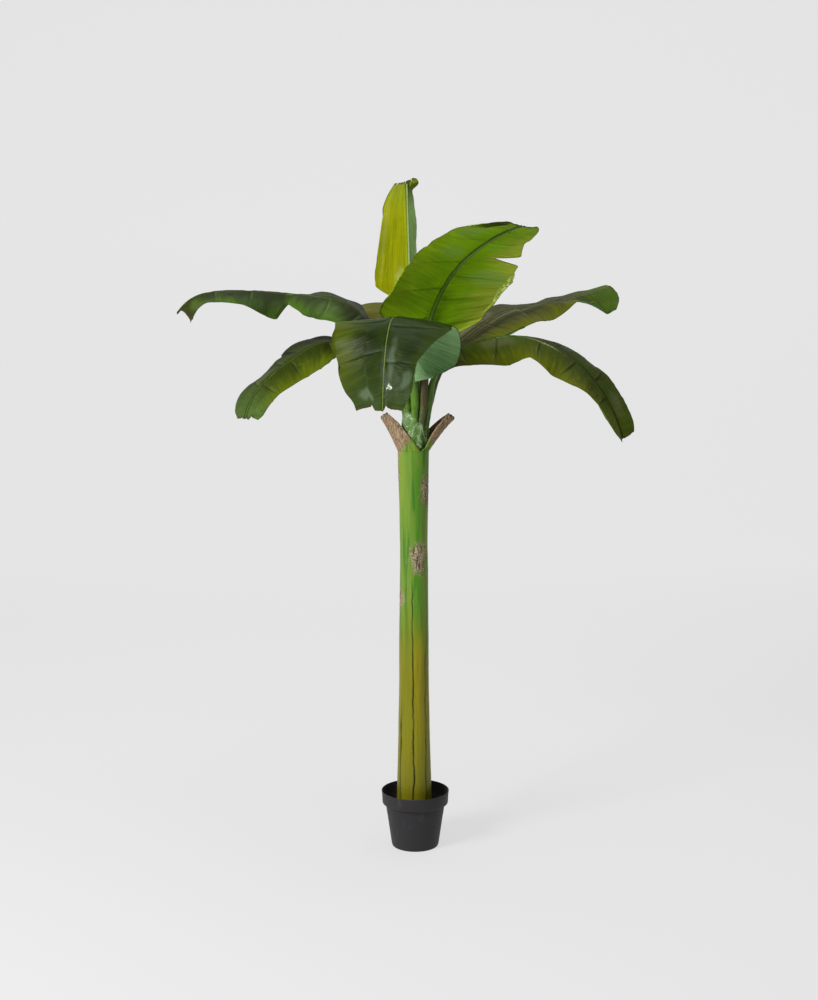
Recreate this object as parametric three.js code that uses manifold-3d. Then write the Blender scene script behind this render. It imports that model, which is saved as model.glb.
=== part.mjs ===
// Artificial banana tree, 2.1 m tall, standing in a plain nursery pot.
// Millimetres, +Z up. The origin is the centre of the pot's flat underside, on the floor.
// Seen from the front, +X points right and +Y points away.
import * as THREE from 'three';
import { mergeVertices } from 'three/addons/utils/BufferGeometryUtils.js';
import Module from 'manifold-3d';

const wasm = await Module();
wasm.setup();

// Driving dimensions

const CLEAR = 0.3;              // gap between pieces that rest on each other
const CUT_CLEAR = 0.6;          // gap cut into a blade where another leaf passes it

const POT_HEIGHT = 181;
const POT_WALL = 3;
const POT_FLOOR = 4;
const POT_SIDES = 36;
// Outside of the pot as [radius, height]: foot, side with a slight kink, shoulder and rim band.
const POT_OUTSIDE = [[67, 0], [73, 2.4], [75.5, 8], [88, 95], [93.5, 130], [104, 143], [107.5, POT_HEIGHT]];

const FILLING_TOP = 111;        // cement ends 70 mm below the rim
const SOCKET_FLOOR = 45;        // the trunk is cast in down to this height
const SOCKET_RADIUS = 60;

const TRUNK_FOOT = SOCKET_FLOOR + CLEAR;
const TRUNK_TOP = 1268;
const TRUNK_SIDES = 28;
const TRUNK_AXIS_X = [-3, -6];  // the trunk leans a little to the left
// Trunk radius at each height: it swells at the foot, thins to a waist and widens again.
const TRUNK_RADIUS = [[TRUNK_FOOT, 56], [162, 55], [310, 51], [473, 48], [668, 46], [850, 44],
  [971, 42.5], [1113, 45], [TRUNK_TOP, 48.5]];

const NECK_FOOT = TRUNK_TOP + CLEAR;
const NECK_TOP = 1400;
const NECK_AXIS_X = [-6, 5];
const NECK_RADIUS = [[NECK_FOOT, 39.5], [1300, 40.2], [1341, 42], [1378, 45.5], [NECK_TOP, 48]];
const NECK_FLUTE = 4;           // depth of the grooves between the bundled stalks
const STALKS_ROUND_NECK = 9;
const STALK_RING_RADIUS = 36;   // the outer stalks stand on this circle
const FIRST_STALK = -100;       // bearing of the front stalk

// A stub is the cut foot of an old leaf: a scoop round the neck that narrows to a thick end.
const STUBS = [
  { name: 'stub_left', side: -1, reach: 94, rise: 107 },
  { name: 'stub_right', side: 1, reach: 119, rise: 105 },
];
const STUB = {
  footRadius: 45.4, endRadius: 15,
  footWidth: 44.6, endWidth: 14.8,
  footThick: 5, endThick: 14,
  endTilt: 35,
};

const STALK_FOOT = NECK_TOP + CLEAR;
const STALK_RADIUS = 11;        // at the neck
const RIB_RADIUS = [9, 5];      // where the blade starts, and at its tip
const BLADE_THICK = 8.5;
const BLADE_MIN_HALF = 9;       // half width of the blade where its outline closes
const RIB_HALF_WIDTH = 7;
const KEEL = [7, 1];            // depth of the rib under the blade, at its foot and tip
const SHOULDER = 0.07;          // the blade is at full width after this part of its length

// The leaves. Bearings are in degrees: 0 is to the right, 90 away, 180 left and -90 to the front.
//   foot     [distance from the neck's axis, bearing] of the stalk's foot
//   lean     rib's angle from straight up, at places from the foot (0) to the tip (1)
//   bearing  where the leaf points; roll turns it about its rib
//   half     half widths of the left and right half, seen from the foot with the upper side up
//   left and right  [place on the blade, fold below the flat, curl across the half], in degrees
//   tears    [half, place, depth, length before, length after] of a notch in the blade's edge, or of
//            a wider part where the depth is negative
//   taper    share of its width that the blade loses toward the tip; tip is where it rounds off
//   slant    how far the veins run forward, for each unit across
const LEAVES = [
  { name: 'leaf_front_up', foot: [STALK_RING_RADIUS, -60], stalk: 190, blade: 570,
    lean: [[0, 2], [0.3, 8], [0.4, 29], [0.55, 45], [0.7, 60], [0.85, 68], [1, 86]],
    bearing: -50, roll: [[0, -22], [1, -14]], half: [170, 174],
    left: [[0, 0, 10]], right: [[0, 5, 10]],
    tears: [['left', 0.4, -0.28, 0.32, 0.17], ['left', 0.575, 0.5, 0.03, 0.045],
      ['left', 0.78, 0.24, 0.18, 0.3]],
    taper: 0.35, tip: 0.7, slant: 0.36 },
  { name: 'leaf_front_low', foot: [STALK_RING_RADIUS, -100], stalk: 85, blade: 690,
    lean: [[0, 5], [0.138, 25], [0.336, 57], [0.444, 65], [0.523, 77], [0.671, 133], [0.82, 163], [1, 178]],
    bearing: -102, roll: [[0, 0]], half: [185, 172],
    left: [[0, 57, 10], [0.4, 9, 10], [1, -5, 10]], right: [[0, -6, 5], [0.4, 7, 5], [1, 38, 5]],
    tears: [['left', 0.2, -0.18, 0.18, 0.2], ['left', 0.74, 0.46, 0.24, 3]],
    taper: 0.08, tip: 0.7, slant: 0.36 },
  { name: 'leaf_upright', foot: [8, 200], stalk: 316, blade: 377,
    lean: [[0, 2], [1, 2]],
    bearing: 180, roll: [[0, 90]], half: [104, 110],
    left: [[0, -75, 0], [0.93, -70, 0], [1, -10, 0]], right: [[0, -5, 10], [1, -10, 10]], tears: [],
    taper: 0.52, tip: 0.66, slant: 0.35 },
  { name: 'leaf_left_high', foot: [STALK_RING_RADIUS, 180], stalk: 120, blade: 798,
    lean: [[0, 8], [0.2, 31], [0.31, 30], [0.482, 84], [0.75, 88], [0.88, 98], [1, 146]],
    bearing: 185, roll: [[0, 0]], half: [164, 155],
    left: [[0, 28, 10], [0.3, 30, 10], [0.51, 18, 10], [0.54, 33, 10], [0.68, 17, 10], [0.8, 14, 10],
      [0.9, 34, 10], [1, 50, 10]],
    right: [[0, 0, 10]], tears: [['left', 0.52, 0.4, 0.1, 0.01]],
    taper: 0.4, tip: 0.9, slant: 0.36 },
  { name: 'leaf_right_high', foot: [STALK_RING_RADIUS, 20], stalk: 110, blade: 712,
    lean: [[0, 14], [0.17, 30], [0.26, 52], [0.48, 65], [0.55, 76], [0.65, 80], [0.9, 74], [1, 80]],
    bearing: 25, roll: [[0, 15]], half: [150, 150],
    left: [[0, 6, 0], [0.4, 5, 5], [0.6, 12, 10]],
    right: [[0, -6, 10], [0.5, 1, 10], [0.66, -18, 10], [0.74, -8, 10], [0.85, 24, 10]], tears: [],
    taper: 0.36, tip: 0.93, slant: 0.36 },
  { name: 'leaf_left_low', foot: [STALK_RING_RADIUS, 220], stalk: 110, blade: 602,
    lean: [[0, 16], [0.17, 45], [0.33, 48], [0.45, 92], [0.6, 122], [0.8, 131], [1, 170]],
    bearing: 194, roll: [[0, -11], [1, -27]], half: [127, 180],
    left: [[0, 35, 0], [0.2, 15, 4], [0.4, 6, 6], [0.7, 7, 10], [1, 15, 10]],
    right: [[0, 24, 0], [0.3, 19, 0], [0.52, 16, 0], [0.56, 14, 10], [0.7, 18, 10], [1, 5, 10]],
    tears: [['right', 0.545, 0.12, 0.012, 0.02], ['left', 0, 0.6, 0.01, 0.36]],
    taper: 0.55, tip: 0.85, slant: 0.36 },
  { name: 'leaf_right_low', foot: [STALK_RING_RADIUS, -20], stalk: 110, blade: 782,
    lean: [[0, 4], [0.12, 18], [0.2, 51], [0.33, 72], [0.48, 98], [0.6, 123], [0.75, 139], [1, 159]],
    bearing: -15, roll: [[0, 6], [0.45, 5], [0.75, 16], [1, 20]], half: [124, 126],
    left: [[0, 34, 10], [0.3, 20, 10], [0.5, 4, 10], [0.8, -10, 10], [1, -15, 10]],
    right: [[0, 14, 10], [0.3, 44, 10], [0.54, 31, 8], [0.74, 2, 10], [1, -18, 10]],
    tears: [['right', 0.4, 0.22, 0.1, 0.1], ['left', 0.56, -0.08, 0.12, 0.08]],
    taper: 0.44, tip: 0.85, slant: 0.36 },
  { name: 'leaf_back', foot: [STALK_RING_RADIUS, 100], stalk: 130, blade: 670,
    lean: [[0, 4], [0.2, 15], [0.45, 67], [0.6, 88], [1, 98]],
    bearing: 112, roll: [[0, 0]], half: [150, 150],
    left: [[0, 10, 10], [1, 20, 10]], right: [[0, 10, 10], [1, 20, 10]],
    tears: [['left', 0.62, 0.3, 0.02, 0.03]],
    taper: 0.4, tip: 0.85, slant: 0.36 },
  { name: 'leaf_back_right', foot: [STALK_RING_RADIUS, 60], stalk: 120, blade: 700,
    lean: [[0, 10], [0.2, 38], [0.45, 76], [0.7, 105], [1, 130]],
    bearing: 74, roll: [[0, 0]], half: [150, 140],
    left: [[0, 10, 10], [1, 20, 10]], right: [[0, 10, 10], [1, 20, 10]],
    tears: [['right', 0.55, 0.35, 0.03, 0.02]],
    taper: 0.4, tip: 0.85, slant: 0.36 },
  { name: 'leaf_back_left', foot: [STALK_RING_RADIUS, 140], stalk: 115, blade: 680,
    lean: [[0, 8], [0.2, 40], [0.35, 75], [0.5, 103], [0.7, 122], [1, 140]],
    bearing: 150, roll: [[0, 0]], half: [125, 125],
    left: [[0, 25, 10]], right: [[0, 0, 10]], tears: [['right', 0.66, 0.3, 0.02, 0.03]],
    taper: 0.4, tip: 0.85, slant: 0.36 },
];

// Helpers

const rad = THREE.MathUtils.degToRad;

// Value at x of [[place, value, ...], ...], along straight lines, or along eased ones.
function along(stations, x, column = 1, eased = false) {
  const last = stations.length - 1;
  if (x <= stations[0][0]) return stations[0][column];
  if (x >= stations[last][0]) return stations[last][column];
  const i = stations.findIndex((station) => x <= station[0]);
  const [from, to] = [stations[i - 1], stations[i]];
  const k = (x - from[0]) / (to[0] - from[0]);
  return THREE.MathUtils.lerp(from[column], to[column], eased ? k * k * (3 - 2 * k) : k);
}

const spread = (count, from = 0, to = 1) =>
  Array.from({ length: count + 1 }, (_, i) => from + (to - from) * i / count);

// Closed skin over rings of equally many points. A ring's point k faces its point (last - k),
// so each end is closed by a strip between the two sides of the ring.
function skin(rings) {
  const n = rings[0].length;
  const triangles = [];
  for (let i = 0; i < rings.length - 1; i++) {
    for (let k = 0; k < n; k++) {
      const [a, b] = [i * n + k, i * n + (k + 1) % n];
      triangles.push([a, b, b + n], [a, b + n, a + n]);
    }
  }
  const end = (rings.length - 1) * n;
  for (let k = 0; k < n / 2 - 1; k++) {
    const [a, b, c, d] = [k, k + 1, n - 2 - k, n - 1 - k];
    triangles.push([a, c, b], [a, d, c], [end + a, end + b, end + c], [end + a, end + c, end + d]);
  }
  const points = rings.flat();
  const volume = triangles.reduce((sum, [a, b, c]) =>
    sum + points[a].dot(new THREE.Vector3().crossVectors(points[b], points[c])), 0);
  const geometry = new THREE.BufferGeometry().setFromPoints(points);
  geometry.setIndex(triangles.flatMap(([a, b, c]) => (volume > 0 ? [a, b, c] : [a, c, b])));
  return geometry;
}

function solidOf(geometry) {
  const bare = geometry.clone();
  bare.deleteAttribute('normal');
  bare.deleteAttribute('uv');
  const merged = mergeVertices(bare);
  return new wasm.Manifold(new wasm.Mesh({
    numProp: 3,
    vertProperties: Float32Array.from(merged.attributes.position.array),
    triVerts: Uint32Array.from(merged.index.array),
  }));
}

function geometryOf(solid) {
  const mesh = solid.getMesh();
  const geometry = new THREE.BufferGeometry();
  geometry.setAttribute('position', new THREE.BufferAttribute(mesh.vertProperties, 3));
  geometry.setIndex(new THREE.BufferAttribute(mesh.triVerts, 1));
  return geometry;
}

const lathe = (profile) =>
  new THREE.LatheGeometry(profile.map(([r, z]) => new THREE.Vector2(r, z)), POT_SIDES).rotateX(Math.PI / 2);

// Pot and filling

const potInside = (gap) =>
  POT_OUTSIDE.filter(([, z]) => z > POT_FLOOR).map(([r, z]) => [r - POT_WALL - gap, z]);

function potGeometry() {
  const footInside = along(POT_OUTSIDE.map(([r, z]) => [z, r]), POT_FLOOR) - POT_WALL;
  const inside = [...potInside(0).reverse(), [footInside, POT_FLOOR], [0, POT_FLOOR]];
  return lathe([[0, 0], ...POT_OUTSIDE, ...inside]);
}

function fillingGeometry() {
  const wall = POT_OUTSIDE.map(([r, z]) => [z, r - POT_WALL - CLEAR]);
  const foot = POT_FLOOR + CLEAR;
  const side = potInside(CLEAR).filter(([, z]) => z > foot && z < FILLING_TOP);
  return lathe([[0, foot], [along(wall, foot), foot], ...side, [along(wall, FILLING_TOP), FILLING_TOP],
    [SOCKET_RADIUS, FILLING_TOP], [SOCKET_RADIUS, SOCKET_FLOOR], [0, SOCKET_FLOOR]]);
}

// Trunk and neck

function ring(centre, radiusAt, sides) {
  return Array.from({ length: sides }, (_, k) => {
    const angle = 2 * Math.PI * k / sides;
    const r = radiusAt(angle);
    return new THREE.Vector3(centre.x + r * Math.cos(angle), centre.y + r * Math.sin(angle), centre.z);
  });
}

const leaning = (axis, z, foot, top) => new THREE.Vector3(
  THREE.MathUtils.mapLinear(z, foot, top, axis[0], axis[1]), 0, z);

function trunkGeometry() {
  return skin(TRUNK_RADIUS.map(([z, r]) =>
    ring(leaning(TRUNK_AXIS_X, z, TRUNK_FOOT, TRUNK_TOP), () => r, TRUNK_SIDES)));
}

// The neck is the bundle of leaf stalks, so it is grooved between one outer stalk and the next.
function neckGeometry() {
  const sides = STALKS_ROUND_NECK * 4;
  const groove = (angle) => Math.abs(Math.sin((angle - rad(FIRST_STALK)) * STALKS_ROUND_NECK / 2));
  return skin(NECK_RADIUS.map(([z, r]) => {
    const depth = NECK_FLUTE * (z - NECK_FOOT) / (NECK_TOP - NECK_FOOT);
    return ring(leaning(NECK_AXIS_X, z, NECK_FOOT, NECK_TOP), (angle) => r - depth * groove(angle), sides);
  }));
}

// Stubs

function stubGeometry({ side, reach, rise }) {
  const rings = spread(9).map((u) => {
    const radius = THREE.MathUtils.lerp(STUB.footRadius, STUB.endRadius, u ** 1.5);
    const width = THREE.MathUtils.lerp(STUB.endWidth, STUB.footWidth, (1 - u) ** 2.2);
    const thick = THREE.MathUtils.lerp(STUB.footThick, STUB.endThick, u);
    const spreadAngle = Math.asin(width / radius);
    const tilt = rad(STUB.endTilt) * u;
    const outward = THREE.MathUtils.lerp(STUB.footRadius, reach, 0.85 * u + 0.15 * u * u);
    const arc = (r) => spread(8, -spreadAngle, spreadAngle).map((angle) => {
      const inward = radius - r * Math.cos(angle);
      return new THREE.Vector3(
        TRUNK_AXIS_X[1] + side * (outward - inward * Math.cos(tilt)),
        r * Math.sin(angle),
        TRUNK_TOP + CLEAR + rise * u + inward * Math.sin(tilt));
    });
    return [...arc(radius + thick / 2), ...arc(radius - thick / 2).reverse()];
  });
  return skin(rings);
}

// Leaves

// The rib as a chain of points with its own directions: forward, up out of the leaf, and right.
function ribOf(leaf, steps = 80) {
  const length = leaf.stalk + leaf.blade;
  const step = length / steps;
  const [distance, footBearing] = [leaf.foot[0], rad(leaf.foot[1])];
  const point = new THREE.Vector3(
    NECK_AXIS_X[1] + distance * Math.cos(footBearing), distance * Math.sin(footBearing), STALK_FOOT);
  const heading = new THREE.Vector3(Math.cos(rad(leaf.bearing)), Math.sin(rad(leaf.bearing)), 0);
  const chain = [];
  for (let i = 0; i <= steps; i++) {
    const lean = rad(along(leaf.lean, i / steps));
    const roll = rad(along(leaf.roll, i / steps));
    const forward = heading.clone().multiplyScalar(Math.sin(lean)).setZ(Math.cos(lean));
    const level = heading.clone().multiplyScalar(-Math.cos(lean)).setZ(Math.sin(lean));
    const beside = new THREE.Vector3().crossVectors(forward, level);
    const up = level.clone().multiplyScalar(Math.cos(roll)).addScaledVector(beside, Math.sin(roll));
    const right = beside.clone().multiplyScalar(Math.cos(roll)).addScaledVector(level, -Math.sin(roll));
    if (i > 0) point.addScaledVector(forward, step / 2).addScaledVector(chain[i - 1].forward, step / 2);
    chain.push({ point: point.clone(), forward, up, right });
  }
  return (distanceAlong) => {
    const x = THREE.MathUtils.clamp(distanceAlong / length, 0, 1) * steps;
    const i = Math.min(Math.floor(x), steps - 1);
    const mix = (key) => chain[i][key].clone().lerp(chain[i + 1][key], x - i);
    return { point: mix('point'), forward: mix('forward'), up: mix('up'), right: mix('right') };
  };
}

// Half width of the blade at place s, as a part of its full half width.
function outline(leaf, s) {
  const rise = Math.sin(Math.min(s / SHOULDER, 1) * Math.PI / 2) ** 0.7;
  const body = 1 - leaf.taper * s ** 1.4;
  const round = Math.sqrt(Math.max(0, 1 - Math.max(0, (s - leaf.tip) / (1 - leaf.tip)) ** 2));
  return rise * body * round;
}

function halfWidth(leaf, half, s) {
  let width = leaf.half[half === 'left' ? 0 : 1] * outline(leaf, s);
  for (const [torn, place, depth, before, after] of leaf.tears) {
    if (torn !== half) continue;
    const nearness = 1 - Math.abs(s - place) / (s < place ? before : after);
    width *= 1 - depth * Math.max(0, nearness);
  }
  return Math.max(width, BLADE_MIN_HALF);
}

// Point of the blade at place s along it, at a distance to the right of the rib (left if negative).
function bladePoint(leaf, rib, s, distance) {
  const half = distance < 0 ? 'left' : 'right';
  const reach = Math.abs(distance);
  const { point, forward, up, right } = rib(leaf.stalk + s * leaf.blade);
  const fold = rad(along(leaf[half], s, 1, true));
  const bend = rad(along(leaf[half], s, 2, true)) / leaf.half[half === 'left' ? 0 : 1];
  const straight = Math.abs(bend) < 1e-6;
  const out = straight ? reach * Math.cos(fold) : (Math.sin(fold + bend * reach) - Math.sin(fold)) / bend;
  const down = straight ? reach * Math.sin(fold) : (Math.cos(fold) - Math.cos(fold + bend * reach)) / bend;
  return point.addScaledVector(right, Math.sign(distance) * out).addScaledVector(up, -down)
    .addScaledVector(forward, leaf.slant * reach);
}

// Section of the blade: two rows from its left edge to its right edge, with a keel under the rib.
function bladeRing(leaf, rib, s, grow) {
  const [left, right] = ['left', 'right'].map((half) => halfWidth(leaf, half, s) + grow);
  const ribLeft = Math.min(RIB_HALF_WIDTH, 0.6 * left);
  const ribRight = Math.min(RIB_HALF_WIDTH, 0.6 * right);
  const distances = [-left, -(left + ribLeft) / 2, -ribLeft, ribRight, (right + ribRight) / 2, right];
  const row = distances.map((distance) => bladePoint(leaf, rib, s, distance));
  const { forward } = rib(leaf.stalk + s * leaf.blade);
  const upward = row.map((_, k) => {
    const beside = row[Math.min(k + 1, 5)].clone().sub(row[Math.max(k - 1, 0)]);
    return new THREE.Vector3().crossVectors(beside, forward).normalize();
  });
  const thick = BLADE_THICK / 2 + grow;
  const keel = THREE.MathUtils.lerp(...KEEL, s);
  const top = row.map((point, k) => point.clone().addScaledVector(upward[k], thick));
  const bottom = row.map((point, k) =>
    point.clone().addScaledVector(upward[k], k === 2 || k === 3 ? -thick - keel : -thick));
  return [...top, ...bottom.reverse()];
}

// Round section of the stalk, flat where it stands on the neck.
function stalkRing(leaf, rib, place, grow, sides = 12) {
  const { point, up, right } = rib(place);
  if (place === 0) [up, right].forEach((axis) => axis.setZ(0).normalize());
  const radius = along([[0, STALK_RADIUS], [leaf.stalk, RIB_RADIUS[0]],
    [leaf.stalk + leaf.blade, RIB_RADIUS[1]]], place) + grow;
  return Array.from({ length: sides }, (_, k) => {
    const angle = Math.PI - 2 * Math.PI * (k + 0.5) / sides;
    return point.clone().addScaledVector(right, radius * Math.cos(angle))
      .addScaledVector(up, radius * Math.sin(angle));
  });
}

function bladeRings(leaf, grow) {
  const rib = ribOf(leaf);
  const torn = leaf.tears.flatMap(([, place, , before, after]) => [place - before, place, place + after])
    .filter((place) => place > 0.01 && place < 0.99);
  const places = [0, 0.025, SHOULDER, ...spread(11, 0.13, 0.86), 0.91, 0.95, 0.98, 1];
  return [...places.filter((s) => torn.every((t) => Math.abs(t - s) > 0.01)), ...torn]
    .sort((a, b) => a - b).map((s) => bladeRing(leaf, rib, s, grow));
}

function wholeLeaf(leaf) {
  const rib = ribOf(leaf);
  const stalk = spread(4, 0, leaf.stalk - STALK_RADIUS).map((place) => stalkRing(leaf, rib, place, 0));
  return solidOf(skin([...stalk, ...bladeRings(leaf, 0)]));
}

// Stalk and rib as one tapering rod, which no other leaf may cut.
function rod(leaf, grow) {
  const rib = ribOf(leaf);
  const places = [...spread(3, 0, leaf.stalk), ...spread(12, leaf.stalk, leaf.stalk + leaf.blade).slice(1)];
  return solidOf(skin(places.map((place) => stalkRing(leaf, rib, place, grow, 8))));
}

// A blade gives way to every other leaf's rod, and to the blades of the leaves before it.
function leafGeometries() {
  const joined = (solids) => wasm.Manifold.union(solids);
  return LEAVES.map((leaf, i) => {
    const others = LEAVES.filter((other) => other !== leaf).map((other) => rod(other, CUT_CLEAR));
    const earlier = LEAVES.slice(0, i).map((other) => solidOf(skin(bladeRings(other, CUT_CLEAR))));
    const cutters = joined([joined(earlier).subtract(rod(leaf, CLEAR)), ...others]);
    const pieces = wholeLeaf(leaf).subtract(cutters).decompose();
    return geometryOf(pieces.reduce((best, piece) => (piece.volume() > best.volume() ? piece : best)));
  });
}

// Colours

const finish = (color, roughness) => new THREE.MeshStandardMaterial({ color, roughness, metalness: 0 });
const materials = {
  pot: finish(0x2e2c2d, 0.6),
  filling: finish(0x3a3733, 0.95),
  trunk: finish(0x6f9440, 0.55),
  neck: finish(0x4f8338, 0.5),
  stub: finish(0x7d6a52, 0.9),
  leaf: finish(0x3d5c1c, 0.4),
};

// Assembly

const plant = new THREE.Group();

function place(name, geometry, material) {
  const mesh = new THREE.Mesh(geometry, material);
  mesh.name = name;
  plant.add(mesh);
}

place('pot', potGeometry(), materials.pot);
place('filling', fillingGeometry(), materials.filling);
place('trunk', trunkGeometry(), materials.trunk);
place('neck', neckGeometry(), materials.neck);
for (const stub of STUBS) place(stub.name, stubGeometry(stub), materials.stub);
leafGeometries().forEach((geometry, i) => place(LEAVES[i].name, geometry, materials.leaf));

export default plant;
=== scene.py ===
import math
from types import SimpleNamespace

import bpy
import numpy as np
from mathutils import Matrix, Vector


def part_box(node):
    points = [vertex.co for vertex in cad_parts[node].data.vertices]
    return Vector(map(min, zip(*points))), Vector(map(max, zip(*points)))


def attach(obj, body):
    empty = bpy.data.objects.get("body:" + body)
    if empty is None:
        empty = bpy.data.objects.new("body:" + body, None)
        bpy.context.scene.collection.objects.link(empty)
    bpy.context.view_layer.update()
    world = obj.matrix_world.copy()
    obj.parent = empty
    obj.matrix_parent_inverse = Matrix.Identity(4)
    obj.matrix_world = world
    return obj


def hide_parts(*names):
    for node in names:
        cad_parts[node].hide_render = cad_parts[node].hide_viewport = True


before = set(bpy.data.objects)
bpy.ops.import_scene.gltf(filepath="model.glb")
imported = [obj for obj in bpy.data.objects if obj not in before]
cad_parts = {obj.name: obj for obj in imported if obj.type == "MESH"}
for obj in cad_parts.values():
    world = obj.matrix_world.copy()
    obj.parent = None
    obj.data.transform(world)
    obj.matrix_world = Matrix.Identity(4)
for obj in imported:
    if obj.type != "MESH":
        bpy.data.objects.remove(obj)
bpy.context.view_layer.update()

# Studio
# The tree stands on a sweep of pale paper that rises behind it. One large softbox hangs high on the
# left in front, a second, weaker one straight above, and the camera looks slightly down.
CAMERA_PLACE = (-0.020, -4.5, 1.66)
CAMERA_TILT = 6.93
CAMERA_LENS = 52.3
PAPER_NEAR, PAPER_FAR, PAPER_HALF_WIDTH = -7.0, 6.0, 9.0
PAPER_BEND, PAPER_BEND_STEPS, PAPER_HEIGHT = 2.5, 16, 7.0
ROOM_LIGHT = (0.24, 0.24, 0.245, 1)


def deselect():
    bpy.ops.object.select_all(action="DESELECT")


def mode(name):
    bpy.ops.object.mode_set(mode=name)


deselect()
bpy.ops.object.camera_add(location=CAMERA_PLACE, rotation=(math.radians(90 - CAMERA_TILT), 0, 0))
bpy.context.object.data.lens = CAMERA_LENS
bpy.context.scene.camera = bpy.context.object
bpy.context.scene.view_settings.view_transform = "Standard"

SOFTBOXES = [
    ("key", (-3.1, -3.0, 3.3), 1.8, 270),
    ("overhead", (0.6, 0.2, 4.6), 3.6, 80),
]
TREE_MIDDLE = (0, 0, 1.3)
for name, place, size, power in SOFTBOXES:
    aim = np.subtract(TREE_MIDDLE, place)
    turn = math.atan2(aim[1], aim[0]) - math.pi / 2
    tilt = math.atan2(math.hypot(aim[0], aim[1]), -aim[2])
    bpy.ops.object.light_add(type="AREA", location=place, rotation=(tilt, 0, turn))
    bpy.context.object.name = name
    bpy.context.object.data.size = size
    bpy.context.object.data.energy = power

world = bpy.data.worlds.new("studio")
world.use_nodes = True
world.node_tree.nodes["Background"].inputs["Color"].default_value = ROOM_LIGHT
bpy.context.scene.world = world


def paint(red, green, blue):
    """Linear colour for the 0 to 255 values of a colour card."""
    shades = [value / 255 for value in (red, green, blue)]
    return tuple(v / 12.92 if v <= 0.04045 else ((v + 0.055) / 1.055) ** 2.4 for v in shades) + (1,)


def new_finish(name):
    """Starts a material. The functions below add their nodes to the one that was started last."""
    global finish
    finish = bpy.data.materials.new(name)
    finish.use_nodes = True
    finish.node_tree.nodes.clear()


def add(kind, sockets, **settings):
    """A shader node. Each socket gets a value, or a link from another node's output."""
    node = finish.node_tree.nodes.new("ShaderNode" + kind)
    for key, value in settings.items():
        setattr(node, key, value)
    for key, value in sockets.items():
        if isinstance(value, bpy.types.NodeSocket):
            finish.node_tree.links.new(value, node.inputs[key])
        else:
            node.inputs[key].default_value = value
    return node


def calc(operation, first, second=0.0, third=0.0):
    return add("Math", {0: first, 1: second, 2: third}, operation=operation).outputs[0]


def mixed(factor, *colors, way="MIX"):
    """The second colour over the first. Each is a link, a linear colour or a paint of three numbers."""
    first, second = (paint(*c) if isinstance(c, tuple) and len(c) == 3 else c for c in colors)
    node = add("Mix", {0: factor, 6: first, 7: second}, data_type="RGBA", blend_type=way)
    return node.outputs[2]


def reach(value, low, high):
    """0 below low and 1 above high, eased between them."""
    sockets = {"Value": value, "From Min": low, "From Max": high}
    return add("MapRange", sockets, interpolation_type="SMOOTHSTEP").outputs["Result"]


def spread(value, low, high, start=0.0, end=1.0):
    """A value from start to end, turned evenly into one from low to high."""
    sockets = {"Value": value, "From Min": start, "From Max": end, "To Min": low, "To Max": high}
    return add("MapRange", sockets).outputs["Result"]


def place_on(axis):
    """Where each spot lies along an axis of the piece."""
    return add("SeparateXYZ", {0: add("TexCoord", {}).outputs["Object"]}).outputs[axis]


def paper_finish():
    """Grey paper that glows, a little more further back, so that it stays pale and even."""
    new_finish("paper")
    lift = spread(place_on("Y"), 0.62, 0.692, 0.5, 5.5)
    diffuse = add("BsdfDiffuse", {"Color": (0.16, 0.16, 0.16, 1)})
    glow = add("Emission", {"Color": (1, 1, 1, 1), "Strength": lift})
    both = add("AddShader", {0: diffuse.outputs[0], 1: glow.outputs[0]})
    add("OutputMaterial", {"Surface": both.outputs[0]})
    return finish


bpy.ops.mesh.primitive_plane_add(size=1)
paper = bpy.context.object
paper.name = "paper_sweep"
paper.scale = (2 * PAPER_HALF_WIDTH, PAPER_FAR - PAPER_NEAR, 1)
paper.location = (0, (PAPER_FAR + PAPER_NEAR) / 2, 0)
bpy.ops.object.transform_apply(location=True, rotation=True, scale=True)
for edge in paper.data.edges:
    edge.select = all(paper.data.vertices[v].co.y > 0 for v in edge.vertices)
for vertex in paper.data.vertices:
    vertex.select = vertex.co.y > 0
for polygon in paper.data.polygons:
    polygon.select = False
bpy.context.tool_settings.mesh_select_mode = (False, True, False)
mode("EDIT")
for step in range(PAPER_BEND_STEPS):
    low, high = (math.pi / 2 * k / PAPER_BEND_STEPS for k in (step, step + 1))
    move = (0, PAPER_BEND * (math.sin(high) - math.sin(low)), PAPER_BEND * (math.cos(low) - math.cos(high)))
    bpy.ops.mesh.extrude_region_move(TRANSFORM_OT_translate={"value": move})
bpy.ops.mesh.extrude_region_move(TRANSFORM_OT_translate={"value": (0, 0, PAPER_HEIGHT)})
mode("OBJECT")
bpy.ops.object.shade_smooth()
paper.data.materials.append(paper_finish())

# Pot
# A round nursery pot of thin black plastic, blow moulded in one piece: a tapered side with a slight
# kink, a rounded step out to the rim band, and a rolled lip. Its skin is matt with a faint grain.
POT_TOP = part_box("pot")[1].z
LIP_RADIUS = 0.0014
ROUND_SIDES = 128


def arc(middle, radius, start, end, steps=5):
    """Points of a rounded corner in a turned profile, as (radius, height), by angle in degrees."""
    angles = np.radians(np.linspace(start, end, steps))
    return [(middle[0] + radius * math.cos(a), middle[1] + radius * math.sin(a)) for a in angles]


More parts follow.
